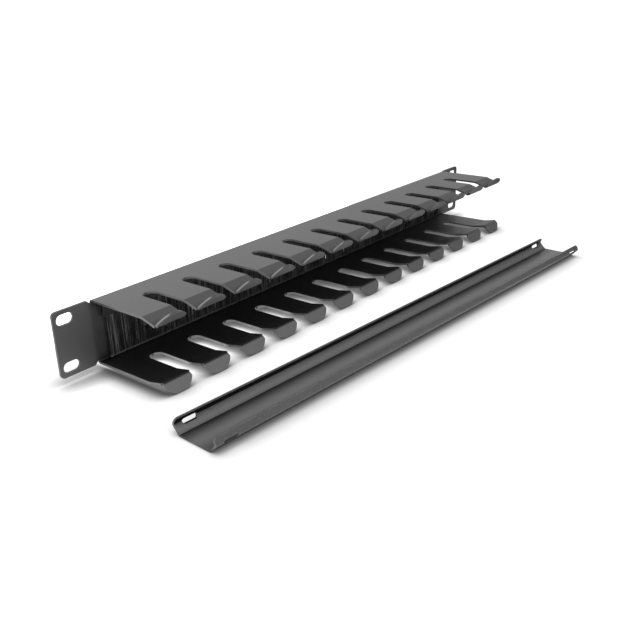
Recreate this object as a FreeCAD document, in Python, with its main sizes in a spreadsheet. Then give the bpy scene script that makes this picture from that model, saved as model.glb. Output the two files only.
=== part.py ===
import FreeCAD, Part
import math
import os
import Sketcher

# Horizontal cable manager for a 19 inch rack, one unit high, with its front cover lying beside it.
#
# The chassis is one folded steel sheet. Its panel has the rack ears and a window, and a plate folded
# forward along the top and the bottom edge carries a row of fingers. A strip brush hangs in front of
# the window. The cover is a second folded sheet, laid on the same floor with its inside up.
#
# Millimetres. The origin is the centre of the rack hole pattern on the panel's rear face, which is the
# face that lies on the rack posts. X runs along the panel, Z is up and the fingers point to -Y.

doc = FreeCAD.newDocument("HorizontalCableManager")
sheet = doc.addObject("Spreadsheet::Sheet", "Sizes")
names = []


class Size:
    """A value that keeps both its number and the words that the sheet's expressions use for it."""

    def __init__(self, number, words):
        self.number = float(number)
        self.words = words

    def joined(self, other, sign, number):
        return Size(number, "({} {} {})".format(self.words, sign, as_size(other).words))

    def __add__(self, other):
        return self.joined(other, "+", self.number + as_size(other).number)

    def __sub__(self, other):
        return self.joined(other, "-", self.number - as_size(other).number)

    def __mul__(self, other):
        return self.joined(other, "*", self.number * as_size(other).number)

    def __truediv__(self, other):
        return self.joined(other, "/", self.number / as_size(other).number)

    def __neg__(self):
        return Size(-self.number, "(0 - {})".format(self.words))


def as_size(value):
    return value if isinstance(value, Size) else Size(value, repr(float(value)))


def hypotenuse(one, other):
    number = math.hypot(one.number, other.number)
    return Size(number, "sqrt({0} * {0} + {1} * {1})".format(one.words, other.words))


def size(name, number, meaning):
    """Write one driving dimension into the sheet and hand it back."""
    names.append(name)
    row = len(names)
    sheet.set("A{}".format(row), name)
    sheet.set("B{}".format(row), str(number))
    sheet.set("C{}".format(row), meaning)
    sheet.setAlias("B{}".format(row), name)
    return Size(number, "Sizes." + name)


# Rack panel
panel_height = size("panel_height", 44.4, "height of a panel for one rack unit")
sheet_thickness = size("sheet_thickness", 1.5, "steel sheet of the chassis")
bend_radius = size("bend_radius", 1.0, "inside radius of the chassis bends")
ear_corner_radius = size("ear_corner_radius", 3.0, "rounded corners of the ears")
rack_hole_spacing = size("rack_hole_spacing", 465.1, "between the hole rows of a 19 inch rack")
slot_margin = size("slot_margin", 8.75, "from the middle of an ear slot to the side edge of the ear")
ear_width = size("ear_width", 28.8, "from the side edge of a plate to the side edge of the ear")
rack_hole_rise = size("rack_hole_rise", 31.75, "between the upper and lower slot of an ear")
rack_slot_length = size("rack_slot_length", 12.0, "ear slot, end to end")
rack_slot_width = size("rack_slot_width", 7.0, "ear slot, clear of an M6 screw")
relief_width = size("relief_width", 3.0, "mouth of the bend relief beside each plate")
relief_depth = size("relief_depth", 2.8, "depth of the bend relief")

# Plates and fingers
finger_count = size("finger_count", 13, "fingers in each row")
gap_width = size("gap_width", 10.5, "cable gap between two fingers")
gap_root = size("gap_root", 19.1, "from the panel's front face to the round end of a gap")
plate_depth = size("plate_depth", 49.0, "from the panel's front face to the first bend of a finger")
slope_run = size("slope_run", 12.2, "forward reach of the sloped part of a finger")
upper_slope_drop = size("upper_slope_drop", 3.7, "how far an upper slope goes towards the middle")
lower_slope_drop = size("lower_slope_drop", 2.3, "how far a lower slope goes towards the middle")
upper_lip_run = size("upper_lip_run", 4.8, "forward reach of an upper lip")
upper_lip_rise = size("upper_lip_rise", 7.2, "how far an upper lip goes up from its slope")
lower_lip_run = size("lower_lip_run", 4.7, "forward reach of a lower lip")
lower_lip_rise = size("lower_lip_rise", 7.9, "how far a lower lip goes down from its slope")
lip_step = size("lip_step", 1.1, "how much a lip's root stays back from its finger at each side")
lip_spread = size("lip_spread", 1.0, "how much a lip grows wider from its root, at each side")
lip_shoulder = size("lip_shoulder", 2.8, "height above its root at which a lip is widest")
lip_notch = size("lip_notch", 0.9, "depth of the small notches beside a lip's root")

# Strip brush
holder_step = size("holder_step", 6.0, "from the side edge of a plate to the end of the brush channel")
holder_height = size("holder_height", 11.4, "height of the brush channel")
holder_depth = size("holder_depth", 3.2, "depth of the brush channel, front to back")
holder_wall = size("holder_wall", 0.6, "sheet of the brush channel")
holder_clearance = size("holder_clearance", 0.2, "between the channel and the top plate")
brush_inset = size("brush_inset", 2.5, "how much the bristles stay back from each end of the channel")
brush_clearance = size("brush_clearance", 0.5, "between the bristle ends and the bottom plate")
tuft_count = size("tuft_count", 68, "tufts along the brush")
tuft_split = size("tuft_split", 0.9, "width of the split between two tufts at their ends")
short_split = size("short_split", 7.0, "height of the shorter splits")
long_split = size("long_split", 13.0, "height of the longer splits")

# Window behind the brush
window_side_cover = size("window_side_cover", 6.0, "how far the bristles pass the window at each side")
window_sill = size("window_sill", 5.0, "from the panel's lower edge to the window")
window_head_cover = size("window_head_cover", 5.0, "how far the channel reaches below the window's head")

# Cover
cover_step = size("cover_step", 5.0, "how much shorter than the plates the cover is, at each end")
cover_sheet = size("cover_sheet", 1.2, "steel sheet of the cover")
cover_bend_radius = size("cover_bend_radius", 0.8, "inside radius of the cover's bends")
cover_web = size("cover_web", 25.5, "flat face of the cover between its lower bends")
cover_flange_run = size("cover_flange_run", 5.8, "sideways reach of a leaning flange")
cover_flange_rise = size("cover_flange_rise", 5.6, "height of a leaning flange")
cover_lip_run = size("cover_lip_run", 1.9, "how far a lip turns back inward")
cover_lip_rise = size("cover_lip_rise", 4.5, "height of a lip")
cover_corner_radius = size("cover_corner_radius", 2.5, "rounded corners at the ends of the lips")
cover_slot_length = size("cover_slot_length", 10.5, "slot in the bend under a lip, end to end")
cover_slot_width = size("cover_slot_width", 3.0, "slot in the bend under a lip")
cover_slot_inset = size("cover_slot_inset", 11.0, "from the cover's end to the middle of a slot")
cover_place_x = size("cover_place_x", -32.3, "middle of the lying cover, along the panel")
cover_place_y = size("cover_place_y", -130.6, "middle of the lying cover, in front of the panel")
cover_turn = size("cover_turn", -3.3, "how many degrees the lying cover is turned")

# Lengths that follow from those above
half_height = panel_height / 2
panel_width = rack_hole_spacing + slot_margin * 2
plate_width = panel_width - ear_width * 2
finger_pitch = (plate_width + gap_width) / finger_count
finger_width = finger_pitch - gap_width
lip_width = finger_width - lip_step * 2
holder_length = plate_width - holder_step * 2
cover_length = plate_width - cover_step * 2
first_finger = -(finger_pitch * (finger_count - 1) / 2)
first_gap = first_finger + finger_pitch / 2
valley_reach = sheet_thickness + plate_depth + slope_run


class FingerRow:
    """Lengths of one finger row's folded section, and its corners as (y, z) pairs.

    The side is 1 for the upper row and -1 for the lower one. The names say how each corner bends.
    """

    def __init__(self, side, slope_drop, lip_run, lip_rise):
        slope_length = hypotenuse(slope_run, slope_drop)
        lip_length = hypotenuse(lip_run, lip_rise)
        slope_cos, slope_sin = slope_run / slope_length, slope_drop / slope_length
        lip_cos, lip_sin = lip_run / lip_length, lip_rise / lip_length
        bend_mitre = sheet_thickness * (slope_length - slope_run) / slope_drop
        valley_mitre = sheet_thickness * (slope_sin + lip_sin) / (slope_cos + lip_cos)
        front = -sheet_thickness
        bend = -(sheet_thickness + plate_depth)
        self.side = side
        self.lip_run = lip_run
        self.valley = half_height - sheet_thickness - slope_drop
        self.reach = valley_reach + lip_run
        self.tip = self.valley + lip_rise + sheet_thickness * lip_cos
        corners = {
            "panel_inner": (front, half_height - sheet_thickness),
            "bend_inner": (bend, half_height - sheet_thickness),
            "valley_outer": (-valley_reach, self.valley),
            "tip_front": (-self.reach, self.valley + lip_rise),
            "tip_back": (-self.reach + sheet_thickness * lip_sin, self.tip),
            "valley_inner": (-valley_reach - sheet_thickness * slope_sin + valley_mitre * slope_cos,
                             self.valley + sheet_thickness * slope_cos + valley_mitre * slope_sin),
            "bend_outer": (bend - bend_mitre, half_height),
            "panel_outer": (Size(0, "0"), half_height),
        }
        self.corners = {name: (y, z * side) for name, (y, z) in corners.items()}


upper_row = FingerRow(1, upper_slope_drop, upper_lip_run, upper_lip_rise)
lower_row = FingerRow(-1, lower_slope_drop, lower_lip_run, lower_lip_rise)
floor_height = -lower_row.tip


def sketch_on(body, name, role, offset=None):
    """Start a sketch on one of the body's own origin planes, moved along its normal by offset."""
    plane = [item for item in body.Origin.OriginFeatures if item.Role == role][0]
    sketch = body.newObject("Sketcher::SketchObject", name)
    sketch.AttachmentSupport = [(plane, "")]
    sketch.MapMode = "FlatFace"
    if offset is not None:
        sketch.setExpression("AttachmentOffset.Base.z", offset.words)
    return sketch


def tie(sketch, kind, first, first_end, second, second_end, value):
    """Hold one point at a signed distance from another, bound to the sheet."""
    constraint = Sketcher.Constraint(kind, first, first_end, second, second_end, value.number)
    index = sketch.addConstraint(constraint)
    sketch.setExpression("Constraints[{}]".format(index), value.words)


def tie_point(sketch, geometry, end, point):
    origin = (-1, 1)
    tie(sketch, "DistanceX", origin[0], origin[1], geometry, end, as_size(point[0]))
    tie(sketch, "DistanceY", origin[0], origin[1], geometry, end, as_size(point[1]))


def vector(point):
    return FreeCAD.Vector(as_size(point[0]).number, as_size(point[1]).number, 0)


def outline(sketch, steps):
    """Draw a closed outline. A step is a corner (x, y), or an arc (x, y, centre, turn) that ends there.

    An arc comes from the corner before it, around its centre, anticlockwise where turn is 1 and
    clockwise where it is -1.
    """
    start, end, middle = 1, 2, 3
    first = None
    before = None
    for number, step in enumerate(steps):
        here = steps[number - 1]
        a, b = vector(here), vector(step)
        if len(step) == 2:
            geometry = sketch.addGeometry(Part.LineSegment(a, b), False)
            into, out = start, end
        else:
            centre, turn = step[2], step[3]
            c = vector(centre)
            swing = [math.atan2(p.y - c.y, p.x - c.x) for p in (a, b)]
            if turn < 0:
                swing.reverse()
            circle = Part.Circle(c, FreeCAD.Vector(0, 0, 1), (a - c).Length)
            geometry = sketch.addGeometry(Part.ArcOfCircle(circle, swing[0], swing[1]), False)
            into, out = (start, end) if turn > 0 else (end, start)
            tie_point(sketch, geometry, middle, centre)
        if before is not None:
            sketch.addConstraint(Sketcher.Constraint("Coincident", before[0], before[1], geometry, into))
        else:
            first = (geometry, into)
        if len(step) == 2:
            tie_point(sketch, geometry, out, step)
        elif abs(b.y - c.y) < abs(b.x - c.x):
            tie(sketch, "DistanceY", -1, 1, geometry, out, as_size(step[1]))
        else:
            tie(sketch, "DistanceX", -1, 1, geometry, out, as_size(step[0]))
        before = (geometry, out)
    sketch.addConstraint(Sketcher.Constraint("Coincident", before[0], before[1], first[0], first[1]))


def box(sketch, left, bottom, right, top):
    outline(sketch, [(left, bottom), (right, bottom), (right, top), (left, top)])


def obround(sketch, x, y, length, width):
    """A slot that lies along the sketch's x, with round ends, around (x, y)."""
    radius = width / 2
    left = x - (length - width) / 2
    right = x + (length - width) / 2
    outline(sketch, [(right, y - radius), (right, y + radius, (right, y), 1),
                     (left, y + radius), (left, y - radius, (left, y), 1)])


def pad(body, sketch, name, length, symmetric=False, reverse=False):
    feature = body.newObject("PartDesign::Pad", name)
    feature.Profile = sketch
    feature.setExpression("Length", length.words)
    feature.SideType = "Symmetric" if symmetric else "One side"
    feature.Reversed = reverse
    body.Tip = feature
    doc.recompute()
    return feature


def pocket(body, sketch, name, depth, symmetric=False):
    before = body.Shape.Volume
    feature = body.newObject("PartDesign::Pocket", name)
    feature.Profile = sketch
    feature.setExpression("Length", depth.words)
    feature.SideType = "Symmetric" if symmetric else "One side"
    body.Tip = feature
    doc.recompute()
    if not body.Shape.Volume < before:
        raise RuntimeError(name + " cuts nothing")
    return feature


def repeat(body, sketch, feature, name, count, spacing):
    """Repeat a cut along the sketch's x axis."""
    pattern = body.newObject("PartDesign::LinearPattern", name)
    pattern.Originals = [feature]
    pattern.Direction = (sketch, ["H_Axis"])
    pattern.setExpression("Length", ((count - 1) * spacing).words)
    pattern.setExpression("Occurrences", count.words)
    body.Tip = pattern
    doc.recompute()
    return pattern


def round_edges(body, base, name, radius, wanted):
    """Round the edges of the base feature that the test function wants."""
    edges = ["Edge{}".format(number + 1) for number, edge in enumerate(base.Shape.Edges) if wanted(edge)]
    if not edges:
        raise RuntimeError(name + " finds no edge")
    feature = body.newObject("PartDesign::Fillet", name)
    feature.Base = (base, edges)
    feature.setExpression("Radius", radius.words)
    body.Tip = feature
    doc.recompute()
    return feature


def runs_along(places):
    """Test for the long edges of a folded section at the given (y, z) places."""
    spots = [vector(place) for place in places]

    def wanted(edge):
        ends = [vertex.Point for vertex in edge.Vertexes]
        if len(ends) != 2 or abs(ends[0].y - ends[1].y) + abs(ends[0].z - ends[1].z) > 0.001:
            return False
        return any(math.hypot(ends[0].y - spot.x, ends[0].z - spot.y) < 0.001 for spot in spots)
    return wanted


def new_body(name):
    body = doc.addObject("PartDesign::Body", name)
    body.Label = name
    return body


def make_chassis():
    """The folded sheet: panel with ears, two plates, two rows of fingers with bent lips."""
    body = new_body("chassis")
    upper, lower = upper_row.corners, lower_row.corners

    section = sketch_on(body, "FoldSection", "YZ_Plane")
    order = ["panel_inner", "bend_inner", "valley_outer", "tip_front",
             "tip_back", "valley_inner", "bend_outer", "panel_outer"]
    outline(section, [upper[name] for name in order] + [lower[name] for name in reversed(order)])
    fold = pad(body, section, "Fold", plate_width, symmetric=True)

    tight = ["panel_inner", "bend_inner", "valley_inner"]
    wide = ["panel_outer", "bend_outer", "valley_outer"]
    tight_bends = runs_along([row[name] for row in (upper, lower) for name in tight])
    wide_bends = runs_along([row[name] for row in (upper, lower) for name in wide])
    inner = round_edges(body, fold, "InnerBends", bend_radius, tight_bends)
    round_edges(body, inner, "OuterBends", bend_radius + sheet_thickness, wide_bends)

    for name, side in (("LeftEar", -1), ("RightEar", 1)):
        inside = plate_width / 2 * side
        outside = panel_width / 2 * side
        rounded = outside - ear_corner_radius * side
        knee = half_height - ear_corner_radius
        ear = sketch_on(body, name + "Outline", "XZ_Plane")
        outline(ear, [(inside, -half_height), (rounded, -half_height),
                      (outside, -knee, (rounded, -knee), side), (outside, knee),
                      (rounded, half_height, (rounded, knee), side), (inside, half_height)])
        pad(body, ear, name, sheet_thickness)

    slots = sketch_on(body, "RackSlotOutlines", "XZ_Plane")
    for across in (-1, 1):
        for up in (-1, 1):
            obround(slots, rack_hole_spacing / 2 * across, rack_hole_rise / 2 * up,
                    rack_slot_length, rack_slot_width)
    pocket(body, slots, "RackSlots", sheet_thickness * 4, symmetric=True)

    reliefs = sketch_on(body, "ReliefOutlines", "XZ_Plane")
    for across in (-1, 1):
        for up in (-1, 1):
            root = plate_width / 2 * across
            outline(reliefs, [(root, half_height * up), (root, (half_height - relief_depth) * up),
                              (root + relief_width * across, half_height * up)])
    pocket(body, reliefs, "BendReliefs", sheet_thickness * 4, symmetric=True)

    window = sketch_on(body, "WindowOutline", "XZ_Plane")
    window_side = holder_length / 2 - brush_inset - window_side_cover
    holder_foot = half_height - sheet_thickness - holder_clearance - holder_height
    box(window, -window_side, window_sill - half_height, window_side, holder_foot + window_head_cover)
    pocket(body, window, "Window", sheet_thickness * 4, symmetric=True)

    gap = sketch_on(body, "GapOutline", "XY_Plane")
    radius = gap_width / 2
    root = -(sheet_thickness + gap_root + radius)
    mouth = -(valley_reach + upper_lip_run + lower_lip_run)
    outline(gap, [(first_gap - radius, mouth), (first_gap + radius, mouth), (first_gap + radius, root),
                  (first_gap - radius, root, (first_gap, root), 1)])
    cut = pocket(body, gap, "FirstGap", panel_height * 2, symmetric=True)
    repeat(body, gap, cut, "Gaps", finger_count - 1, finger_pitch)

    trim_lips(body, upper_row, "Upper")
    trim_lips(body, lower_row, "Lower")
    return body


def trim_lips(body, row, name):
    """Cut away what is round each lip of a row, seen from the front: both flanks and above its arc."""
    trim = sketch_on(body, name + "LipOutline", "XZ_Plane", row.reach + sheet_thickness)
    half = lip_width / 2
    widest = half + lip_spread
    flank = finger_width / 2 + gap_width / 4
    rise = row.tip - row.valley - lip_shoulder
    radius = (widest * widest + rise * rise) / (rise * 2)
    foot = (row.valley - sheet_thickness) * row.side
    root = row.valley * row.side
    shoulder = (row.valley + lip_shoulder) * row.side
    centre = (row.tip - radius) * row.side
    above = (row.tip + sheet_thickness) * row.side
    outline(trim, [(first_finger - flank, foot), (first_finger - half, foot), (first_finger - half, root),
                   (first_finger - widest, shoulder),
                   (first_finger + widest, shoulder, (first_finger, centre), -row.side),
                   (first_finger + half, root), (first_finger + half, foot), (first_finger + flank, foot),
                   (first_finger + flank, above), (first_finger - flank, above)])
    cut = pocket(body, trim, name + "FirstLip", row.lip_run + sheet_thickness + lip_notch)
    repeat(body, trim, cut, name + "Lips", finger_count, finger_pitch)


def make_brush_holder():
    """A folded channel, open below, on the panel's front face close under the top plate."""
    body = new_body("brush_holder")
    back = -sheet_thickness
    front = back - holder_depth
    middle = back - holder_depth / 2
    top = half_height - sheet_thickness - holder_clearance
    foot = top - holder_height
    shoulder = top - holder_depth / 2
    section = sketch_on(body, "ChannelSection", "YZ_Plane")
    outline(section, [(front, foot), (front + holder_wall, foot), (front + holder_wall, shoulder),
                      (back - holder_wall, shoulder, (middle, shoulder), -1),
                      (back - holder_wall, foot), (back, foot), (back, shoulder),
                      (front, shoulder, (middle, shoulder), 1)])
    pad(body, section, "Channel", holder_length, symmetric=True)
    return body


def make_bristles():
    """The curtain of bristles, clamped in the channel and split into tufts at its lower edge."""
    body = new_body("bristles")
    back = -(sheet_thickness + holder_wall)
    front = back - (holder_depth - holder_wall * 2)
    top = half_height - sheet_thickness - holder_clearance - holder_depth / 2
    foot = sheet_thickness + brush_clearance - half_height
    half = holder_length / 2 - brush_inset
    curtain = sketch_on(body, "CurtainSection", "YZ_Plane")
    box(curtain, front, foot, back, top)
    pad(body, curtain, "Curtain", half * 2, symmetric=True)

    tuft_pitch = half * 2 / tuft_count
    for name, height, start in (("Short", short_split, 1), ("Long", long_split, 2)):
        split = sketch_on(body, name + "SplitOutline", "XZ_Plane")
        x = tuft_pitch * start - half
        below = foot - brush_clearance
        outline(split, [(x - tuft_split / 2, below), (x + tuft_split / 2, below), (x, foot + height)])
        cut = pocket(body, split, name + "Split", (sheet_thickness + holder_depth) * 2, symmetric=True)
        repeat(body, split, cut, name + "Splits", tuft_count / 2 - (start - 1), tuft_pitch * 2)
    return body


def make_cover():
    """The folded cover: flat web, two leaning flanges, two lips that turn back inward."""
    body = new_body("cover")
    flange = hypotenuse(cover_flange_run, cover_flange_rise)
    lip = hypotenuse(cover_lip_run, cover_lip_rise)
    flange_cos, flange_sin = cover_flange_run / flange, cover_flange_rise / flange
    lip_cos_inward, lip_sin_inward = cover_lip_run / lip, cover_lip_rise / lip
    web_mitre = cover_sheet * (flange - cover_flange_run) / cover_flange_rise
    half = cover_web / 2
    elbow = half + cover_flange_run
    turn_sin = lip_sin_inward * flange_cos + lip_cos_inward * flange_sin
    turn_cos = lip_sin_inward * flange_sin - lip_cos_inward * flange_cos
    elbow_mitre = cover_sheet * turn_sin / (turn_cos + 1)
    outer = [(half, as_size(0)), (elbow, cover_flange_rise),
             (elbow - cover_lip_run, cover_flange_rise + cover_lip_rise)]
    inner = [(half - web_mitre, cover_sheet),
             (elbow - cover_sheet * flange_sin - elbow_mitre * flange_cos,
              cover_flange_rise + cover_sheet * flange_cos - elbow_mitre * flange_sin),
             (elbow - cover_lip_run - cover_sheet * lip_sin_inward,
              cover_flange_rise + cover_lip_rise - cover_sheet * lip_cos_inward)]
    right = outer + inner[::-1]
    left = [(-y, z) for y, z in right[::-1]]
    section = sketch_on(body, "CoverSection", "YZ_Plane")
    outline(section, right + left)
    channel = pad(body, section, "CoverFold", cover_length, symmetric=True)

    both = [(-1, 1), (1, 1)]
    tight = [(inner[n][0] * y, inner[n][1] * z) for n in (0, 1) for y, z in both]
    wide = [(outer[n][0] * y, outer[n][1] * z) for n in (0, 1) for y, z in both]
    folded = round_edges(body, channel, "CoverInnerBends", cover_bend_radius, runs_along(tight))
    round_edges(body, folded, "CoverOuterBends", cover_bend_radius + cover_sheet,
                runs_along(wide))

    corners = sketch_on(body, "CoverCornerOutlines", "XZ_Plane")
    top = cover_flange_rise + cover_lip_rise
    knee = top - cover_corner_radius
    above = top + cover_sheet
    for across in (-1, 1):
        end = cover_length / 2 * across
        rounded = end - cover_corner_radius * across
        beyond = end + cover_sheet * across
        outline(corners, [(beyond, knee), (beyond, above), (rounded, above), (rounded, top),
                          (end, knee, (rounded, knee), -across)])
    pocket(body, corners, "CoverCorners", cover_web + cover_flange_run * 4, symmetric=True)

    slots = sketch_on(body, "CoverSlotOutlines", "XZ_Plane")
    for across in (-1, 1):
        obround(slots, (cover_length / 2 - cover_slot_inset) * across, cover_flange_rise,
                cover_slot_length, cover_slot_width)
    pocket(body, slots, "CoverSlots", cover_web + cover_flange_run * 4, symmetric=True)

    place = FreeCAD.Vector(cover_place_x.number, cover_place_y.number, floor_height.number)
    body.Placement = FreeCAD.Placement(place, FreeCAD.Rotation(FreeCAD.Vector(0, 0, 1), cover_turn.number))
    return body


bodies = [make_chassis(), make_brush_holder(), make_bristles(), make_cover()]
doc.recompute()

for item in doc.Objects:
    if "Invalid" in item.State or "Error" in item.State:
        raise RuntimeError("{} failed: {}".format(item.Name, item.State))
for body in bodies:
    if body.Shape.isNull() or not body.Shape.isValid() or len(body.Shape.Solids) != 1:
        raise RuntimeError(body.Label + " is not one valid solid")

os.makedirs("parts", exist_ok=True)
for body in bodies:
    body.Shape.exportStep("parts/{}.step".format(body.Label))
    bounds = body.Shape.BoundBox
    print(body.Label, "volume {:.0f}".format(body.Shape.Volume), "box",
          [round(value, 2) for value in (bounds.XMin, bounds.YMin, bounds.ZMin,
                                         bounds.XMax, bounds.YMax, bounds.ZMax)])
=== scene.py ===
import math
from collections import namedtuple

import bpy
from bpy.props import FloatProperty, FloatVectorProperty, IntProperty, PointerProperty
from mathutils import Matrix, Vector


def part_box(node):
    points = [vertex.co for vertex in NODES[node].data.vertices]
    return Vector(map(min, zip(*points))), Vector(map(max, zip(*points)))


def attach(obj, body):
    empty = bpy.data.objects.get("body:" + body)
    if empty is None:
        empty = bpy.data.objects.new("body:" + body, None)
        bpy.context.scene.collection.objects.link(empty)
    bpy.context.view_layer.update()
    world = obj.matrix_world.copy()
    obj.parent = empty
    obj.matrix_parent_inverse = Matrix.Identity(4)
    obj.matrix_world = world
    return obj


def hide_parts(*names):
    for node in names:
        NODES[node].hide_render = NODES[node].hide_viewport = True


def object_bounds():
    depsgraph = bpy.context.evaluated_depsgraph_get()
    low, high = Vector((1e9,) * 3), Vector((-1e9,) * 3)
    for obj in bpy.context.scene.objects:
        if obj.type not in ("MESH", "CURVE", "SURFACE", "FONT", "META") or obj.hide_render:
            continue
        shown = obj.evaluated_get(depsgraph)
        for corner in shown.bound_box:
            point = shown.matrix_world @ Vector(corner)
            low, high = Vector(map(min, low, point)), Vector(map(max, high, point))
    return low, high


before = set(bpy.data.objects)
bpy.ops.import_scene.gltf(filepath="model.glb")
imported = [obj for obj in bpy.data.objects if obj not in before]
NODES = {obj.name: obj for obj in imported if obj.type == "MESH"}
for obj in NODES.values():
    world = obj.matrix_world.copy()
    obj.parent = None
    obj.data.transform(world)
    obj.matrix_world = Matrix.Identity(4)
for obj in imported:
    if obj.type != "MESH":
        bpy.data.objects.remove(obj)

# Horizontal cable manager: finishes for the folded steel and the brush channel, the strands of the
# strip brush, and the studio that shows them. Lengths are in metres, in the frame of the CAD part.

bl_info = {
    "name": "Horizontal cable manager",
    "version": (1, 0, 0),
    "blender": (4, 5, 0),
    "location": "View3D > Sidebar > Cable manager",
    "description": "Finishes, strip brush and studio for a rack cable manager",
    "category": "Object",
}

CAD_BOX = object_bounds()
FLOOR_LEVEL = CAD_BOX[0].z
CHANNEL_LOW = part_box("brush_holder")[0]
BRISTLES_LOW, BRISTLES_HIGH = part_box("bristles")

# Places on the chassis
PLATE_END = 0.2125              # half the length of a finger plate
LOWER_ROW = (-0.005, -0.015)    # heights between which the lower row begins
LAST_GAP = (0.205, 0.2085)      # half lengths between which the last cable gap ends
GAP_FRONT = (-0.053, -0.048)    # from the slopes back to the flat part of the fingers

# The cover on the floor
COVER_MIDDLE = (-0.0323, -0.1306)
COVER_TURN = math.radians(-3.3)
FLANGE_FOOT = 0.0125            # from the cover's middle line to the foot of its far flange

BLACK = (0.0, 0.0, 0.0, 1.0)
WHITE = (1.0, 1.0, 1.0, 1.0)
PICTURE_SIDE = 630


# Node trees

class Wire:
    """An output socket of a node tree. Arithmetic on wires adds Math nodes to the tree."""

    def __init__(self, tree, socket):
        self.tree = tree
        self.socket = socket

    def math(self, operation, *values):
        return self.tree.add("ShaderNodeMath", {"operation": operation}, dict(enumerate(values)))

    def __add__(self, other):
        return self.math("ADD", self, other)

    def __radd__(self, other):
        return self.math("ADD", other, self)

    def __sub__(self, other):
        return self.math("SUBTRACT", self, other)

    def __rsub__(self, other):
        return self.math("SUBTRACT", other, self)

    def __mul__(self, other):
        return self.math("MULTIPLY", self, other)

    def __rmul__(self, other):
        return self.math("MULTIPLY", other, self)

    def __truediv__(self, other):
        return self.math("DIVIDE", self, other)

    def __pow__(self, other):
        return self.math("POWER", self, other)

    def absolute(self):
        return self.math("ABSOLUTE", self)

    def floor(self):
        return self.math("FLOOR", self)

    def modulo(self, other):
        return self.math("FLOORED_MODULO", self, other)

    def above(self, other):
        return self.math("GREATER_THAN", self, other)

    def at_least(self, other):
        return self.math("MAXIMUM", self, other)

    def limited(self):
        return self.math("MINIMUM", self.at_least(0.0), 1.0)


class Tree:
    """Adds nodes to one node tree and wires them."""

    def __init__(self, nodes):
        self.nodes = nodes

    def add(self, kind, settings=None, inputs=None, output=0):
        """Add a node: its settings first, then a value or a wire for each named or numbered socket."""
        node = self.nodes.nodes.new(kind)
        for name, value in (settings or {}).items():
            setattr(node, name, value)
        for key, value in (inputs or {}).items():
            if isinstance(value, Wire):
                self.nodes.links.new(value.socket, node.inputs[key])
            else:
                node.inputs[key].default_value = value
        return Wire(self, node.outputs[output]) if node.outputs else node

    def spread(self, value, low, high, to_low, to_high):
        """Carry a value from one range to another, held at both ends."""
        return self.add("ShaderNodeMapRange", {"clamp": True},
                        {"Value": value, "From Min": low, "From Max": high,
                         "To Min": to_low, "To Max": to_high})

    def rise(self, value, low, high):
        """Nought at the first end of a range and one at the second."""
        return self.spread(value, low, high, 0.0, 1.0)

    def fall(self, value, low, high):
        """One at the first end of a range and nought at the second."""
        return self.spread(value, low, high, 1.0, 0.0)

    def split(self, vector):
        """The three parts of a vector."""
        first = self.add("ShaderNodeSeparateXYZ", None, {0: vector})
        return [Wire(self, socket) for socket in first.socket.node.outputs]

    def dot(self, first, second):
        return self.add("ShaderNodeVectorMath", {"operation": "DOT_PRODUCT"}, {0: first, 1: second},
                        output="Value")

    def blend(self, share, first, second):
        """Mix two colours."""
        return self.add("ShaderNodeMix", {"data_type": "RGBA"}, {0: share, 6: first, 7: second}, output=2)

    def noise(self, place, scale, detail=2.0, roughness=0.5):
        return self.add("ShaderNodeTexNoise", None,
                        {"Vector": place, "Scale": scale, "Detail": detail, "Roughness": roughness})

    def openness(self, distance, samples, alone):
        """One in the open, less where something lies within the distance: the piece alone, or any."""
        return self.add("ShaderNodeAmbientOcclusion", {"samples": samples, "only_local": alone},
                        {"Distance": distance}, output="AO")

    def rounded(self, radius, samples):
        """The normal rounded over the edges, the plain normal, and a mask of those edges."""
        soft = self.add("ShaderNodeBevel", {"samples": samples}, {"Radius": radius})
        plain = self.add("ShaderNodeNewGeometry", output="Normal")
        return soft, plain, self.rise(self.dot(soft, plain), 0.985, 0.80)


def new_material(name):
    """An empty material with its tree and the place on the piece."""
    material = bpy.data.materials.new(name)
    material.use_nodes = True
    material.node_tree.nodes.clear()
    tree = Tree(material.node_tree)
    place = tree.add("ShaderNodeTexCoord", output="Object")
    return material, tree, place


def finish_material(tree, **inputs):
    """Add the surface shader. A word's underscores stand for the spaces of the socket's name."""
    surface = tree.add("ShaderNodeBsdfPrincipled", None,
                       {name.replace("_", " "): value for name, value in inputs.items()})
    tree.add("ShaderNodeOutputMaterial", None, {"Surface": surface})


def grey(colour, factor):
    """A colour made darker or lighter, with its alpha."""
    return tuple(min(1.0, part * factor) for part in colour) + (1.0,)


# What a user would change

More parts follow.
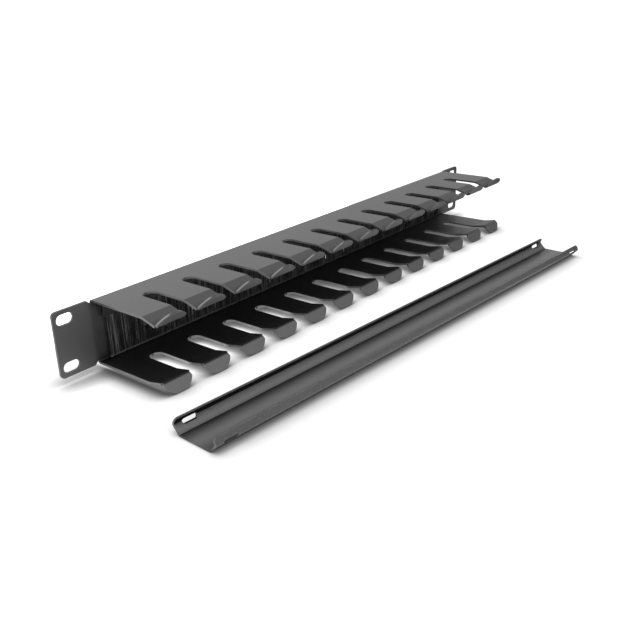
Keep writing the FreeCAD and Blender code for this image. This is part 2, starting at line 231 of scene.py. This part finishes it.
class PowderCoat(bpy.types.PropertyGroup):
    """Satin black powder coat on the folded steel."""

    colour: FloatVectorProperty(name="Colour", description="Colour of the coat", subtype="COLOR",
                                size=3, min=0.0, max=1.0, default=(0.036, 0.036, 0.0367))
    roughness: FloatProperty(name="Roughness", description="Roughness of the flat faces",
                             min=0.05, max=1.0, default=0.40)
    gloss: FloatProperty(name="Gloss", description="Weight of the clear gloss over the flat faces",
                         min=0.0, max=1.0, default=0.95)
    # Recess and crease set the painted shade: the coat darkens and loses its gloss near walls and corners.
    recess: FloatProperty(name="Recess", description="How far off the walls of a recess still darken it",
                          min=0.001, max=0.2, default=0.090, unit="LENGTH")
    crease: FloatProperty(name="Crease", description="How far from a corner the gloss fades",
                          min=0.0005, max=0.05, default=0.006, unit="LENGTH")
    grain: FloatProperty(name="Grain", description="Size of the coat's fine grain",
                         min=0.0001, max=0.01, default=0.0007, unit="LENGTH")
    grain_depth: FloatProperty(name="Grain depth", description="Height of the fine grain",
                               min=0.0, max=0.001, default=0.00003, unit="LENGTH")
    edge: FloatProperty(name="Edge radius", description="Rounding of the coat over an edge",
                        min=0.0, max=0.002, default=0.0005, unit="LENGTH")
    # The paler edges are worn coat and painted highlight at once.
    edge_lift: FloatProperty(name="Edge lift", description="How much paler the coat is on its edges",
                             min=1.0, max=40.0, default=7.0)
    # Cut lift, cut low and cut rest set the painted highlight on the cut sheet edges and on the lower gaps'
    # walls.
    cut_lift: FloatProperty(name="Cut lift", description="How much paler the coat is on cut sheet edges",
                            min=1.0, max=40.0, default=6.0)
    cut_low: FloatProperty(name="Cut low", description="How many times paler the lower gaps' walls are",
                           min=1.0, max=10.0, default=5.0)
    cut_rest: FloatProperty(name="Cut rest",
                            description="Share of the cut lift by the panel and on the cover",
                            min=0.0, max=1.0, default=0.18)


class ChannelFinish(bpy.types.PropertyGroup):
    """Black finish of the folded brush channel."""

    colour: FloatVectorProperty(name="Colour", description="Colour of the channel", subtype="COLOR",
                                size=3, min=0.0, max=1.0, default=(0.022, 0.022, 0.023))
    roughness: FloatProperty(name="Roughness", description="Roughness of the channel",
                             min=0.05, max=1.0, default=0.40)


class StripBrush(bpy.types.PropertyGroup):
    """Strands of the strip brush."""

    per_layer: IntProperty(name="Strands", description="Strands in each layer of the brush",
                           min=50, max=3000, default=1500)
    layers: IntProperty(name="Layers", description="Layers of strands, front to back",
                        min=1, max=8, default=5)
    rings: IntProperty(name="Rings", description="Points along a strand", min=3, max=12, default=5)
    thickness: FloatProperty(name="Thickness", description="Thickness of a strand at its root",
                             min=0.00005, max=0.001, default=0.00034, unit="LENGTH")
    sway_length: FloatProperty(name="Sway length", description="Length over which the lean changes",
                               min=0.001, max=0.1, default=0.0085, unit="LENGTH")
    sway: FloatProperty(name="Sway", description="How far the ends lean together along the panel",
                        min=0.0, max=0.02, default=0.0026, unit="LENGTH")
    strand_lean: FloatProperty(name="Strand lean", description="How far one strand leaves its neighbours",
                               min=0.0, max=0.02, default=0.0008, unit="LENGTH")
    stray_share: FloatProperty(name="Strays", description="Share of the strands that stray",
                               min=0.0, max=1.0, default=0.012)
    stray_lean: FloatProperty(name="Stray lean", description="How far a stray leans", min=0.0,
                              max=0.05, default=0.0070, unit="LENGTH")
    uneven: FloatProperty(name="Uneven", description="How uneven the ends are", min=0.0, max=0.02,
                          default=0.0013, unit="LENGTH")
    colour: FloatVectorProperty(name="Colour", description="Colour of the strands", subtype="COLOR",
                                size=3, min=0.0, max=1.0, default=(0.020, 0.020, 0.021))
    seed: IntProperty(name="Seed", description="Which of the random brushes is made", min=0,
                      max=9999, default=19)


class Studio(bpy.types.PropertyGroup):
    """Floor, light and camera."""

    floor_colour: FloatVectorProperty(name="Floor", description="Colour of the floor",
                                      subtype="COLOR", size=3, min=0.0, max=1.0,
                                      default=(0.93, 0.93, 0.93))
    floor_lift: FloatProperty(name="Floor lift", description="White that the camera sees on the floor",
                              min=0.0, max=2.0, default=1.0)
    # Shade reach and depth set the painted shadow on the floor, and gap lift the painted light seen through
    # the cable gaps.
    shade_reach: FloatProperty(name="Shade reach", description="How far a piece shades the floor beside it",
                               min=0.0, max=1.0, default=0.021, unit="LENGTH")
    shade_depth: FloatProperty(name="Shade depth", description="How dark that shade is", min=0.0,
                               max=10.0, default=4.4)
    gap_lift: FloatProperty(name="Gap lift", description="White seen on the floor through the cable gaps",
                            min=0.0, max=2.0, default=0.95)
    room_low: FloatProperty(name="Room low", description="Level of the room's light at floor height",
                            min=0.0, max=2.0, default=0.35)
    room_high: FloatProperty(name="Room high", description="Level of the room's light overhead",
                             min=0.0, max=2.0, default=1.15)
    left_wall: FloatProperty(name="Left wall", description="Level of the reflections towards the left",
                             min=0.0, max=2.0, default=0.84)
    right_wall: FloatProperty(name="Right wall", description="Level of the reflections towards the right",
                              min=0.0, max=2.0, default=0.54)
    soft_box: FloatProperty(name="Soft box", description="Level of the soft box in the reflections",
                            min=0.0, max=5.0, default=2.8)
    lamp: FloatProperty(name="Lamp", description="Level of the soft lamp", min=0.0, max=5.0,
                        default=0.9)
    lamp_spread: FloatProperty(name="Lamp spread", description="Angle that the soft lamp fills",
                               min=0.0, max=3.14, default=math.radians(50), subtype="ANGLE",
                               unit="ROTATION")


SETTINGS = {"powder_coat": PowderCoat, "channel_finish": ChannelFinish, "strip_brush": StripBrush,
            "studio": Studio}


# Finishes

# Masks of the coat on one piece: where painted shade dims it and where painted light makes it paler, how
# much its edges are worn and highlighted, how strong the painted highlight on its cut edges is, and which
# of those are walls of the lower cable gaps.
Tones = namedtuple("Tones", "dim pale wear cut wall")


def chassis_tones(tree, settings, place, normal):
    """Painted shade atop the lower plates, painted light on the ears, painted highlights on cut edges by
    the lips and to the left.
    """
    plate_painted_shade, ear_painted_light, right_cut, wear = 0.65, 0.45, 0.15, 1.0
    x, y, z = tree.split(place)
    upward = tree.split(normal)[2]
    lower = tree.rise(z, *LOWER_ROW)
    # Painted shade on the tops of the lower plates, except towards the right end.
    dim = lower * tree.rise(upward, 0.5, 0.8) * tree.fall(x, 0.08, 0.19) * plate_painted_shade
    # Painted light on the ears.
    ears = tree.spread(x.absolute(), PLATE_END, PLATE_END + 0.0025, 0.0, ear_painted_light)
    # Painted highlight on the cut edges: most by the lips and to the left, and strongest on the walls of
    # the lower cable gaps.
    by_lips = tree.spread(y, -0.012, -0.030, settings.cut_rest, 1.0)
    cut = by_lips * tree.spread(x, -0.08, 0.06, 1.0, right_cut)
    wall = lower * tree.rise(y, *GAP_FRONT) * tree.fall(x.absolute(), *LAST_GAP)
    return Tones(dim, ears, wear, cut, wall)


def cover_tones(tree, settings, place, normal):
    """Painted shade inside the far lip and in the far crease, painted light on the far flange and along the
    web.
    """
    painted_shade_share, flange_painted_light, low_wear, wall = 0.95, 0.40, 0.2, 0.0
    x, y, z = tree.split(place)
    normal_x, normal_y, upward = tree.split(normal)
    side_x, side_y = -math.sin(COVER_TURN), math.cos(COVER_TURN)
    from_middle = (x - COVER_MIDDLE[0]) * side_x + (y - COVER_MIDDLE[1]) * side_y
    faces_far = normal_x * side_x + normal_y * side_y
    far = tree.rise(from_middle, FLANGE_FOOT, FLANGE_FOOT + 0.0015) * tree.rise(faces_far, -0.1, -0.3)
    # Painted shade inside the far lip and, below, in the far crease.
    lip = far * tree.rise(upward, 0.0, -0.25) * painted_shade_share
    # Painted light on the far flange and, below, along the middle of the web.
    flange = far * tree.spread(upward, 0.2, 0.5, 0.0, flange_painted_light)
    crease = tree.rise(from_middle, FLANGE_FOOT - 0.0045, FLANGE_FOOT) ** 1.5
    crease = crease * tree.spread(upward, 0.85, 0.95, 0.0, painted_shade_share)
    web = tree.fall(from_middle.absolute(), 0.0015, 0.0085)
    wear = tree.spread(z, FLOOR_LEVEL + 0.0025, FLOOR_LEVEL + 0.0055, low_wear, 1.0)
    return Tones(lip + crease, flange + web, wear, settings.cut_rest, wall)


def powder_coat(settings, name, tones, spots, edge_lift, alone):
    """Black powder coat: fine grain, cloudy sheen, and a paler line over each edge, worn coat and painted
    highlight at once.

    Painted shade: the coat darkens and its gloss fades in the corners of the piece alone, or where it meets
    the floor as well, and in its recesses.
    """
    material, tree, place = new_material(name)
    darker, lighter, grainy, speckled, pale, worn_and_highlit_edge = [
        grey(settings.colour, factor) for factor in (0.88, 1.12, 1.35, 1.9, 3.0, edge_lift)]
    cut_highlight_colour = grey(settings.colour, settings.cut_lift)
    gap_wall_light_colour = grey(settings.colour, settings.cut_lift * settings.cut_low)
    cloud_sheen, grain_sheen, worn_sheen = 0.03, 0.14, 0.10

    grain = tree.noise(place, 1.0 / settings.grain, 2.0, 0.6)
    ripple = tree.noise(place, 0.28 / settings.grain, 1.0)
    cloud = tree.noise(place, 22.0, 3.0, 0.55)
    speck = tree.spread(tree.noise(place, 0.55 / settings.grain, 0.0), 0.66, 0.74, 0.0, spots)
    worn_cloud = tree.spread(tree.noise(place, 260.0, 2.0), 0.35, 0.65, 0.45, 1.0)
    cut_cloud = tree.spread(tree.noise(place, 90.0, 1.0), 0.35, 0.65, 0.75, 1.0)

    rounded, normal, edge = tree.rounded(settings.edge, 6)
    tone = tones(tree, settings, place, normal)
    # Worn coat and painted highlight at once: the edges are paler.
    worn = (edge * worn_cloud).limited() * tone.wear
    # Painted highlight on the cut sheet edges that face sideways.
    sideways = tree.split(normal)[0].absolute()
    cut = tree.rise(sideways, 0.03, 0.30) * cut_cloud * tone.cut
    # Painted shade from ambient occlusion: the coat darkens and loses its gloss in corners and recesses,
    # and where the piece's masks dim it.
    corner = tree.openness(settings.crease, 8, alone)
    depth = tree.spread(tree.openness(settings.recess, 4, True), 0.15, 0.60, 0.15, 1.0)
    lit = depth * (1.0 - tone.dim)
    gloss = tree.spread(corner, 0.76, 0.95, 0.0, settings.gloss) * lit

    colour = tree.blend(tree.rise(cloud, 0.3, 0.7), darker, lighter)
    colour = tree.blend(tree.spread(grain, 0.35, 0.65, 0.0, 0.5), colour, grainy)
    colour = tree.blend(speck, colour, speckled)
    # Painted shade where lit is low, then painted light, worn and highlighted edges, and painted highlights
    # on the cut edges.
    colour = tree.blend(lit * tree.spread(corner, 0.35, 0.95, 0.25, 1.0), BLACK, colour)
    colour = tree.blend(tone.pale, colour, pale)
    colour = tree.blend(worn, colour, worn_and_highlit_edge)
    colour = tree.blend(cut, colour, tree.blend(tone.wall, cut_highlight_colour, gap_wall_light_colour))

    roughness = tree.spread(cloud, 0.3, 0.7, settings.roughness - cloud_sheen,
                            settings.roughness + cloud_sheen)
    roughness = roughness + (grain - 0.5) * grain_sheen - worn * worn_sheen
    bump = tree.add("ShaderNodeBump", None, {"Strength": 1.0, "Distance": settings.grain_depth,
                                             "Height": grain * 0.7 + ripple * 0.3, "Normal": rounded})
    finish_material(tree, Base_Color=colour, Roughness=roughness, Normal=bump, Coat_Weight=gloss,
                    Coat_Roughness=settings.roughness, Coat_IOR=1.62, IOR=1.28)
    return material


def channel_finish(settings):
    """Rolled strip in black: faint lines along the channel, a little paler along its folds and edges."""
    material, tree, place = new_material("Brush channel black")
    along = tree.add("ShaderNodeMapping", None, {"Vector": place, "Scale": (18.0, 900.0, 900.0)})
    lines = tree.noise(along, 1.0, 3.0, 0.6)
    cloud = tree.noise(place, 60.0, 2.0)
    fold_radius, line_depth = 0.0003, 0.00002
    darker, lighter, paler_fold = [grey(settings.colour, factor) for factor in (0.8, 1.3, 3.2)]
    rounded, _, edge = tree.rounded(fold_radius, 4)
    colour = tree.blend(tree.rise(lines, 0.3, 0.7), darker, lighter)
    # Paler along the folds and edges.
    colour = tree.blend(edge, colour, paler_fold)
    roughness = tree.spread(cloud, 0.3, 0.7, settings.roughness - 0.04, settings.roughness + 0.06)
    roughness = roughness + (lines - 0.5) * 0.12
    bump = tree.add("ShaderNodeBump", None, {"Strength": 0.6, "Distance": line_depth, "Height": lines,
                                             "Normal": rounded})
    finish_material(tree, Base_Color=colour, Roughness=roughness, Normal=bump)
    return material


def strand_finish(settings):
    """Black nylon: tufts differ a little in tone, some strands carry a painted glint, the ends a painted
    highlight, and painted light grows away from the left.
    """
    material, tree, place = new_material("Black nylon strands")
    along = tree.add("ShaderNodeMapping", None, {"Vector": place, "Scale": (1500.0, 1500.0, 22.0)})
    strand = tree.noise(along, 1.0, 2.0, 0.6)
    tuft = tree.noise(place, 160.0, 1.0)
    x, _, z = tree.split(place)
    tip_start, tip_full, strand_depth = 0.0018, 0.0008, 0.00002
    end = tree.rise(z, BRISTLES_LOW.z + tip_start, BRISTLES_LOW.z + tip_full)
    darker, lighter, strand_painted_light, painted_tip_highlight, painted_glint = [
        grey(settings.colour, factor) for factor in (0.5, 1.1, 10.0, 16.0, 20.0)]

    colour = tree.blend(tree.rise(tuft, 0.3, 0.7), darker, lighter)
    # Painted glints on some strands, painted light growing to the right, and painted highlights on the
    # ends, most to the left.
    colour = tree.blend(tree.rise(strand, 0.53, 0.61), colour, painted_glint)
    colour = tree.blend(tree.spread(x, -0.19, 0.0, 0.0, 0.28), colour, strand_painted_light)
    colour = tree.blend(end * tree.spread(x, -0.12, 0.10, 1.0, 0.3), colour, painted_tip_highlight)
    roughness = tree.spread(strand, 0.3, 0.7, 0.34, 0.52) + end * 0.2
    bump = tree.add("ShaderNodeBump", None, {"Strength": 0.3, "Distance": strand_depth, "Height": strand})
    finish_material(tree, Base_Color=colour, Roughness=roughness, Normal=bump)
    return material


def dress(node, material):
    """Put a finish into every material slot of a CAD node."""
    slots = NODES[node].material_slots
    if not slots:
        raise RuntimeError(node + " has no material slot")
    for slot in slots:
        slot.material = material


# Strip brush

def brush_tree(material):
    """Geometry nodes that hang rows of bent strands from the channel."""
    group = bpy.data.node_groups.new("Strip brush strands", "GeometryNodeTree")
    group.interface.new_socket("Geometry", in_out="OUTPUT", socket_type="NodeSocketGeometry")
    group.interface.new_socket("Geometry", in_out="INPUT", socket_type="NodeSocketGeometry")
    whole = ["Strands", "Layers", "Rings", "Seed"]
    lengths = ["Left", "Right", "Front", "Back", "Top", "Lip", "Foot", "Thickness", "Sway length",
               "Sway", "Strand lean", "Stray share", "Stray lean", "Uneven"]
    for name in whole:
        group.interface.new_socket(name, in_out="INPUT", socket_type="NodeSocketInt")
    for name in lengths:
        group.interface.new_socket(name, in_out="INPUT", socket_type="NodeSocketFloat")

    tree = Tree(group)
    given = group.nodes.new("NodeGroupInput")
    size = {name: Wire(tree, given.outputs[name]) for name in whole + lengths}

    def chance(owner, offset, low=-1.0, high=1.0):
        """A random number that stays the same for one strand."""
        return tree.add("FunctionNodeRandomValue", {"data_type": "FLOAT"},
                        {2: low, 3: high, "ID": owner, "Seed": size["Seed"] + offset}, output=1)

    # Which strand a point belongs to, and where that strand is rooted
    index = tree.add("GeometryNodeInputIndex")
    strand = (index / size["Rings"]).floor()
    share = index.modulo(size["Rings"]) / (size["Rings"] - 1)
    layer = strand.modulo(size["Layers"])
    column = (strand / size["Layers"]).floor()
    step = (size["Right"] - size["Left"]) / size["Strands"]
    stagger = (layer + 0.5) / size["Layers"] - 0.5
    root_x = size["Left"] + (column + 0.5 + stagger * 0.8 + chance(strand, 1) * 0.3) * step
    depth = (layer + 0.5 + chance(strand, 2) * 0.35) / size["Layers"]
    root_y = size["Back"] + (size["Front"] - size["Back"]) * depth

    # How its end leans: with its neighbours, by itself, and far where it strays
    along = tree.add("ShaderNodeCombineXYZ", None,
                     {"X": root_x / size["Sway length"], "Y": layer * 0.35, "Z": size["Seed"] * 1.7})
    drift = (tree.noise(along, 1.0, 1.0) - 0.5) * 2.0
    ripple = (tree.noise(along, 3.1, 0.0) - 0.5) * 2.0
    stray = 1.0 - chance(strand, 4, 0.0, 1.0).above(size["Stray share"])
    lean_x = drift * size["Sway"] + chance(strand, 6) * size["Strand lean"]
    lean_x = lean_x + stray * chance(strand, 7) * size["Stray lean"]
    own_lean, shared_lean, stray_reach, splay = 0.0004, 0.0005, 0.0022, 0.0007
    lean_y = chance(strand, 11) * own_lean + ripple * shared_lean
    lean_y = lean_y - stray * chance(strand, 12, 0.2, 1.0) * stray_reach
    lean_y = lean_y + (depth - 0.5) * splay

    # Its first stretch is straight inside the channel, and the rest is bent
    hidden = size["Top"] - size["Lip"]
    short = (ripple.limited() * 0.5 + chance(strand, 9, 0.0, 1.0) ** 3.0 * 0.9) * size["Uneven"]
    point = share * size["Rings"] - share
    shown = (point - 1.0).at_least(0.0) / (size["Rings"] - 2)
    fall = point.limited() * hidden + shown * (size["Top"] - size["Foot"] - hidden - short)
    bend = shown ** (1.25 + chance(strand, 10, 0.0, 0.9))
    place = tree.add("ShaderNodeCombineXYZ", None,
                     {"X": root_x + lean_x * bend, "Y": root_y + lean_y * bend,
                      "Z": size["Top"] - fall})

    girth = size["Thickness"] * 0.5 * (1.25 - depth * 0.45) * (1.0 - shown * 0.2)
    girth = girth * chance(strand, 13, 0.85, 1.15)
    points = tree.add("GeometryNodePoints", None,
                      {"Count": size["Strands"] * size["Layers"] * size["Rings"], "Position": place})
    lines = tree.add("GeometryNodePointsToCurves", None,
                     {"Points": points, "Curve Group ID": strand, "Weight": share})
    ring = tree.add("GeometryNodeCurvePrimitiveCircle", None, {"Resolution": 3, "Radius": 1.0})
    hairs = tree.add("GeometryNodeCurveToMesh", None,
                     {"Curve": lines, "Profile Curve": ring, "Scale": girth, "Fill Caps": True})
    hairs = tree.add("GeometryNodeRealizeInstances", None, {"Geometry": hairs})
    hairs = tree.add("GeometryNodeSetMaterial", None, {"Geometry": hairs, "Material": material})
    tree.add("NodeGroupOutput", None, {"Geometry": hairs})
    return group


def fill_inputs(modifier, group, values):
    """Set a tree's inputs on a modifier, by the identifier of each socket."""
    sockets = {item.name: item for item in group.interface.items_tree
               if item.item_type == "SOCKET" and item.in_out == "INPUT"}
    for name, value in values.items():
        modifier[sockets[name].identifier] = value


def hang_brush(settings):
    """Make the strands as one plain mesh that stands for the CAD curtain."""
    group = brush_tree(strand_finish(settings))
    seed = bpy.data.objects.new("strand_seed", bpy.data.meshes.new("strand_seed"))
    bpy.context.scene.collection.objects.link(seed)
    modifier = seed.modifiers.new("Strands", "NODES")
    modifier.node_group = group
    inset = settings.thickness * 0.6
    channel_cover = 0.0005
    fill_inputs(modifier, group, {
        "Strands": settings.per_layer, "Layers": settings.layers, "Rings": settings.rings,
        "Seed": settings.seed, "Left": BRISTLES_LOW.x + inset, "Right": BRISTLES_HIGH.x - inset,
        "Front": BRISTLES_LOW.y + inset, "Back": BRISTLES_HIGH.y - inset, "Top": BRISTLES_HIGH.z,
        "Lip": CHANNEL_LOW.z + channel_cover, "Foot": BRISTLES_LOW.z, "Thickness": settings.thickness,
        "Sway length": settings.sway_length, "Sway": settings.sway,
        "Strand lean": settings.strand_lean, "Stray share": settings.stray_share,
        "Stray lean": settings.stray_lean, "Uneven": settings.uneven})
    bpy.context.view_layer.update()
    graph = bpy.context.evaluated_depsgraph_get()
    mesh = bpy.data.meshes.new_from_object(seed.evaluated_get(graph))
    seed.modifiers.remove(modifier)
    bpy.data.objects.remove(seed)
    if not mesh.polygons:
        raise RuntimeError("the brush has no strands")
    mesh.name = "bristle_strands"
    mesh.polygons.foreach_set("use_smooth", [True] * len(mesh.polygons))
    brush = bpy.data.objects.new("bristle_strands", mesh)
    bpy.context.scene.collection.objects.link(brush)
    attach(brush, "root")
    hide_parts("bristles")
    return brush


# Studio

def seen_ray(tree):
    """One on a ray from the camera, and one on a ray off a gloss or through glass."""
    camera, glossy, through = [tree.add("ShaderNodeLightPath", output=name) for name in
                               ("Is Camera Ray", "Is Glossy Ray", "Is Transmission Ray")]
    return camera, (glossy + through).limited()


def floor_finish(settings):
    """Pale floor. The camera sees it white, with a painted shadow beside each piece and painted light on
    the floor through the cable gaps.

    Every other ray meets a plain matt floor, with a painted shade that darkens it away from the pieces,
    which their gloss mirrors.
    """
    material, tree, place = new_material("Pale studio floor")
    x, y, _ = tree.split(place)
    # Painted shadow: the white that the camera sees falls off where a piece lies near, from ambient
    # occlusion.
    beside = tree.openness(settings.shade_reach, 20, False)
    front_share, floor_glow, floor_dimness = 0.45, 0.05, 0.12
    depth = tree.spread(y, -0.095, -0.080, front_share, 1.0) * settings.shade_depth
    # Painted light on the floor seen through the lower cable gaps, where the plates shade it.
    painted_gap_light = tree.spread(beside, 0.06, 0.40, 0.0, settings.gap_lift)
    painted_gap_light = painted_gap_light * tree.rise(y, -0.066, -0.052) * tree.fall(x.absolute(), 0.204, 0.209)
    white = tree.add("ShaderNodeEmission", None,
                     {"Strength": beside ** depth * settings.floor_lift + painted_gap_light + floor_glow})
    dim = tree.add("ShaderNodeBsdfDiffuse", None, {"Color": grey(settings.floor_colour, floor_dimness)})
    seen = tree.add("ShaderNodeAddShader", None, {0: dim, 1: white})

    cloud = tree.noise(place, 3.0, 2.0)
    colour = tree.blend(cloud, grey(settings.floor_colour, 0.99), grey(settings.floor_colour, 1.01))
    # Painted shade: the matt floor is darker to the right and in front, which darkens the pieces'
    # reflections there.
    near = tree.spread(x, 0.12, 0.28, 1.0, 0.20) * tree.spread(y, -0.40, -0.12, 0.50, 1.0)
    matt = tree.add("ShaderNodeBsdfDiffuse", None, {"Color": tree.blend(near, BLACK, colour)})

    camera, _ = seen_ray(tree)
    surface = tree.add("ShaderNodeMixShader", None, {0: camera, 1: matt, 2: seen})
    tree.add("ShaderNodeOutputMaterial", None, {"Surface": surface})
    return material


def mirrored_room(tree, settings, way):
    """Level of the room in the gloss: soft walls, darker low down and in front, and one soft box."""
    x, y, z = tree.split(way)
    walls = tree.spread(x, 0.55, 0.88, settings.left_wall, settings.right_wall)
    height = tree.spread(z, 0.22, 0.50, 0.85, 1.15)
    overhead = tree.spread(z - y, 0.0, 0.28, 1.0, 0.30)
    front = tree.spread(y, -0.5, 0.1, 0.60, 1.0)
    low_front = tree.spread(z, 0.05, 0.35, 0.70, 0.0) * tree.fall(y, -0.3, 0.1)
    aim = Vector((0.50, -0.66, 0.56)).normalized()
    box = tree.rise(tree.dot(way, tuple(aim)), 0.87, 0.975)
    box = box * tree.spread(x, 0.58, 0.82, settings.soft_box, 0.5)
    return walls * height * overhead * front * (1.0 - low_front) + box


def light_room(settings):
    """White all round for the camera, a soft even light for the object, and one wide soft lamp."""
    world = bpy.data.worlds.new("Studio room")
    world.use_nodes = True
    world.node_tree.nodes.clear()
    tree = Tree(world.node_tree)
    way = tree.add("ShaderNodeTexCoord", output="Generated")
    even = tree.spread(tree.split(way)[2], 0.0, 1.0, settings.room_low, settings.room_high)
    mirrored = mirrored_room(tree, settings, way)
    camera, gloss = seen_ray(tree)
    strength = camera + (1.0 - camera) * (gloss * mirrored + (1.0 - gloss) * even)
    room = tree.add("ShaderNodeBackground", None, {"Color": WHITE, "Strength": strength})
    tree.add("ShaderNodeOutputWorld", None, {"Surface": room})
    bpy.context.scene.world = world

    lamp = bpy.data.lights.new("Soft lamp", "SUN")
    lamp.energy = settings.lamp
    lamp.angle = settings.lamp_spread
    travel = Vector((0.12, 0.20, -1.0))
    holder = bpy.data.objects.new("Soft lamp", lamp)
    holder.rotation_euler = travel.to_track_quat("-Z", "Y").to_euler()
    bpy.context.scene.collection.objects.link(holder)


def lay_floor(settings):
    """A wide flat floor under the lips and the cover."""
    reach = 12.0
    corners = [(x * reach, y * reach, FLOOR_LEVEL) for x, y in ((-1, -1), (1, -1), (1, 1), (-1, 1))]
    mesh = bpy.data.meshes.new("studio_floor")
    mesh.from_pydata(corners, [], [(0, 1, 2, 3)])
    mesh.materials.append(floor_finish(settings))
    floor = bpy.data.objects.new("studio_floor", mesh)
    bpy.context.scene.collection.objects.link(floor)


def place_camera():
    """The photograph's camera, found from the rack holes, the ears and the cable gaps.

    Angles are in degrees and lengths in millimetres. The centre is that of the lens in the picture.
    """
    focal_pixels = 808.74
    centre_pixels = (308.23, 313.79)
    azimuth, elevation, roll = (math.radians(angle) for angle in (-49.772, 22.226, -2.181))
    target, distance = Vector((-111.621, -94.023, 0.0)), 529.651

    back = Vector((math.sin(azimuth) * math.cos(elevation), -math.cos(azimuth) * math.cos(elevation),
                   math.sin(elevation)))
    level = (-back).cross(Vector((0.0, 0.0, 1.0))).normalized()
    upright = level.cross(-back)
    right = level * math.cos(roll) + upright * math.sin(roll)
    up = upright * math.cos(roll) - level * math.sin(roll)

    lens = bpy.data.cameras.new("Camera")
    lens.sensor_width = 36.0
    lens.lens = focal_pixels * lens.sensor_width / PICTURE_SIDE
    lens.shift_x = (PICTURE_SIDE / 2 - centre_pixels[0]) / PICTURE_SIDE
    lens.shift_y = (centre_pixels[1] - PICTURE_SIDE / 2) / PICTURE_SIDE
    lens.clip_start = 0.01
    lens.clip_end = 100.0
    camera = bpy.data.objects.new("Camera", lens)
    turn = Matrix((right, up, back)).transposed().to_4x4()
    camera.matrix_world = Matrix.Translation((target + back * distance) / 1000.0) @ turn
    bpy.context.scene.collection.objects.link(camera)
    bpy.context.scene.camera = camera


# Operators

class CABLE_MANAGER_OT_chassis(bpy.types.Operator):
    """Give the folded chassis its powder coat"""

    bl_idname = "cable_manager.chassis"
    bl_label = "Chassis"

    def execute(self, context):
        settings = context.scene.powder_coat
        dress("chassis", powder_coat(settings, "Chassis powder coat", chassis_tones, spots=0.5,
                                     edge_lift=settings.edge_lift, alone=True))
        return {"FINISHED"}


class CABLE_MANAGER_OT_cover(bpy.types.Operator):
    """Give the loose cover its powder coat"""

    bl_idname = "cable_manager.cover"
    bl_label = "Cover"

    def execute(self, context):
        settings = context.scene.powder_coat
        dress("cover", powder_coat(settings, "Cover powder coat", cover_tones, spots=0.8,
                                   edge_lift=settings.edge_lift * 1.4, alone=False))
        return {"FINISHED"}


class CABLE_MANAGER_OT_brush_channel(bpy.types.Operator):
    """Give the folded brush channel its finish"""

    bl_idname = "cable_manager.brush_channel"
    bl_label = "Brush channel"

    def execute(self, context):
        dress("brush_holder", channel_finish(context.scene.channel_finish))
        return {"FINISHED"}


class CABLE_MANAGER_OT_brush(bpy.types.Operator):
    """Hang the strands of the strip brush"""

    bl_idname = "cable_manager.brush"
    bl_label = "Strip brush"

    def execute(self, context):
        hang_brush(context.scene.strip_brush)
        return {"FINISHED"}


class CABLE_MANAGER_OT_studio(bpy.types.Operator):
    """Lay the floor, light the room and place the camera"""

    bl_idname = "cable_manager.studio"
    bl_label = "Studio"

    def execute(self, context):
        light_room(context.scene.studio)
        lay_floor(context.scene.studio)
        place_camera()
        return {"FINISHED"}


OPERATORS = [CABLE_MANAGER_OT_studio, CABLE_MANAGER_OT_chassis, CABLE_MANAGER_OT_cover,
             CABLE_MANAGER_OT_brush_channel, CABLE_MANAGER_OT_brush]


class CABLE_MANAGER_PT_panel(bpy.types.Panel):
    """Sidebar panel with the settings and the steps that use them"""

    bl_idname = "CABLE_MANAGER_PT_panel"
    bl_label = "Cable manager"
    bl_space_type = "VIEW_3D"
    bl_region_type = "UI"
    bl_category = "Cable manager"

    def draw(self, context):
        layout = self.layout
        for name, group in SETTINGS.items():
            box = layout.box()
            for key in group.__annotations__:
                box.prop(getattr(context.scene, name), key)
        for step in OPERATORS:
            layout.operator(step.bl_idname)


CLASSES = [*SETTINGS.values(), *OPERATORS, CABLE_MANAGER_PT_panel]


def register():
    for item in CLASSES:
        bpy.utils.register_class(item)
    for name, group in SETTINGS.items():
        setattr(bpy.types.Scene, name, PointerProperty(type=group))


def unregister():
    for name in SETTINGS:
        delattr(bpy.types.Scene, name)
    for item in reversed(CLASSES):
        bpy.utils.unregister_class(item)


def main():
    register()
    bpy.context.scene.view_settings.view_transform = "Standard"
    for step in OPERATORS:
        family, name = step.bl_idname.split(".")
        getattr(getattr(bpy.ops, family), name)()


if __name__ == "__main__":
    main()
